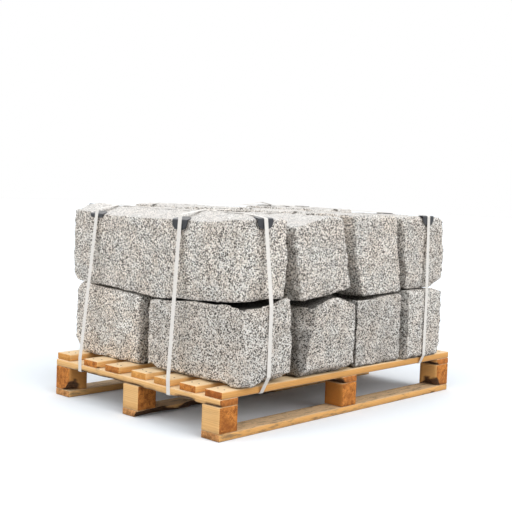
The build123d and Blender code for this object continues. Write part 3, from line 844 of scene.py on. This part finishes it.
def strap_plastic(name, node):
    """White band whose ribs follow the strap, which may lean out of the upright."""
    place = np.array([vertex.co for vertex in node.data.vertices])
    across = int(np.argmin(np.ptp(place[:, :2], axis=0)))
    lean, start = np.polyfit(place[:, 2], place[:, across], 1)
    from_middle = place[:, across] - lean * place[:, 2] - start
    width = np.ptp(from_middle)
    material, tree, shader = start_material(name, roughness=0.42, specular=0.4)
    spot = add(tree, "ShaderNodeTexCoord").outputs["Object"]
    axis = [0.0, 0.0, -lean / width]
    axis[across] = 1 / width
    along_axis = add(tree, "ShaderNodeVectorMath", {0: spot, 1: axis}, operation="DOT_PRODUCT")
    share = sum_of(tree, "SUBTRACT", along_axis.outputs["Value"], (start + from_middle.min()) / width)
    rib = sum_of(tree, "SINE", sum_of(tree, "MULTIPLY", share, 2 * math.pi * rib_count))
    band = shades(tree, cloud(tree, spot, 60.0, 4, 0.6), ((0.35, band_white), (0.75, band_dusty)))
    band = veil(tree, band, groove_grey, window(tree, rib, 0.2, -0.9), strength=0.22)
    tree.links.new(band, shader.inputs["Base Color"])
    emboss(tree, shader, rib, strength=0.35, depth=0.0004)
    return material


for name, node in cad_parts.items():
    if name.startswith("strap"):
        node.data.materials.clear()
        node.data.materials.append(strap_plastic(name + "_band", node))

# Floor: a pale, matt studio floor that runs out to a white background and keeps the soft shadow.
# It is part of the stage, not of the pallet, and throws less light back than it shows.
floor_half = 30.0
floor_white = (0.90, 0.95, 1.0)
floor_dim, floor_pale = (0.46, 0.465, 0.47), (0.50, 0.505, 0.51)
floor_mesh = bpy.data.meshes.new("studio_floor")
floor_corners = [(-floor_half, -floor_half, 0), (floor_half, -floor_half, 0),
                 (floor_half, floor_half, 0), (-floor_half, floor_half, 0)]
floor_mesh.from_pydata(floor_corners, [], [(0, 1, 2, 3)])
floor = bpy.data.objects.new("studio_floor", floor_mesh)
bpy.context.scene.collection.objects.link(floor)
floor_paint, tree, shader = start_material("floor_paint", roughness=0.95, specular=0.0)
spot = add(tree, "ShaderNodeTexCoord").outputs["Object"]
thrown_back = shades(tree, cloud(tree, spot, 3.0), ((0.3, floor_dim), (0.7, floor_pale)))
camera_ray = add(tree, "ShaderNodeLightPath").outputs["Is Camera Ray"]
floor_colour = paint_over(tree, camera_ray, thrown_back, floor_white)
tree.links.new(floor_colour, shader.inputs["Base Color"])
floor_mesh.materials.append(floor_paint)

# Light: an even pale sky all round, and three broad soft lamps.
# One faces the front, one the left side and one is behind.
# The world shows white to the camera and in reflections.
sky_level = 0.44
lamp_spread = 60.0
lamps = {"front_lamp": (1.90, (-0.05, 1.2, -1.0)), "left_lamp": (1.45, (1.2, -0.05, -1.0)),
         "far_lamp": (0.6, (-0.45, -0.35, -1.0))}
scene = bpy.context.scene
scene.view_settings.view_transform = "Standard"
world = bpy.data.worlds.new("studio")
world.use_nodes = True
scene.world = world
tree = world.node_tree
sky = tree.nodes["Background"]
sky.inputs["Color"].default_value = (1, 1, 1, 1)
path = add(tree, "ShaderNodeLightPath")
seen = sum_of(tree, "MAXIMUM", path.outputs["Is Camera Ray"], path.outputs["Is Glossy Ray"])
seen = sum_of(tree, "MAXIMUM", seen, path.outputs["Is Transmission Ray"])
strength = sum_of(tree, "MULTIPLY_ADD", seen, 1.0 - sky_level, sky_level)
tree.links.new(strength, sky.inputs["Strength"])
for name, (lamp_level, aim) in lamps.items():
    lamp = bpy.data.objects.new(name, bpy.data.lights.new(name, "SUN"))
    lamp.data.energy = lamp_level
    lamp.data.angle = math.radians(lamp_spread)
    lamp.rotation_euler = Vector(aim).to_track_quat("-Z", "Y").to_euler()
    scene.collection.objects.link(lamp)

# Camera: just above the top of the load, off the near corner, as in the photograph.
# It looks a little down, and is tipped a little to one side.
heading = math.radians(46.68)
pitch = math.radians(-3.95)
roll = math.radians(2.17)
stand = Vector((-2.461, -2.273, 0.719))
focal_pixels, frame_pixels = 943.0, 512.0
camera_data = bpy.data.cameras.new("camera")
camera_data.sensor_width = 36.0
camera_data.lens = camera_data.sensor_width * focal_pixels / frame_pixels
camera = bpy.data.objects.new("camera", camera_data)
level_aim = Vector((math.sin(heading), math.cos(heading), 0))
forward = math.cos(pitch) * level_aim + Vector((0, 0, math.sin(pitch)))
level = Vector((math.cos(heading), -math.sin(heading), 0))
upright = level.cross(forward)
right = math.cos(roll) * level + math.sin(roll) * upright
up = math.cos(roll) * upright - math.sin(roll) * level
camera.matrix_world = Matrix.Translation(stand) @ Matrix((right, up, -forward)).transposed().to_4x4()
scene.collection.objects.link(camera)
scene.camera = camera
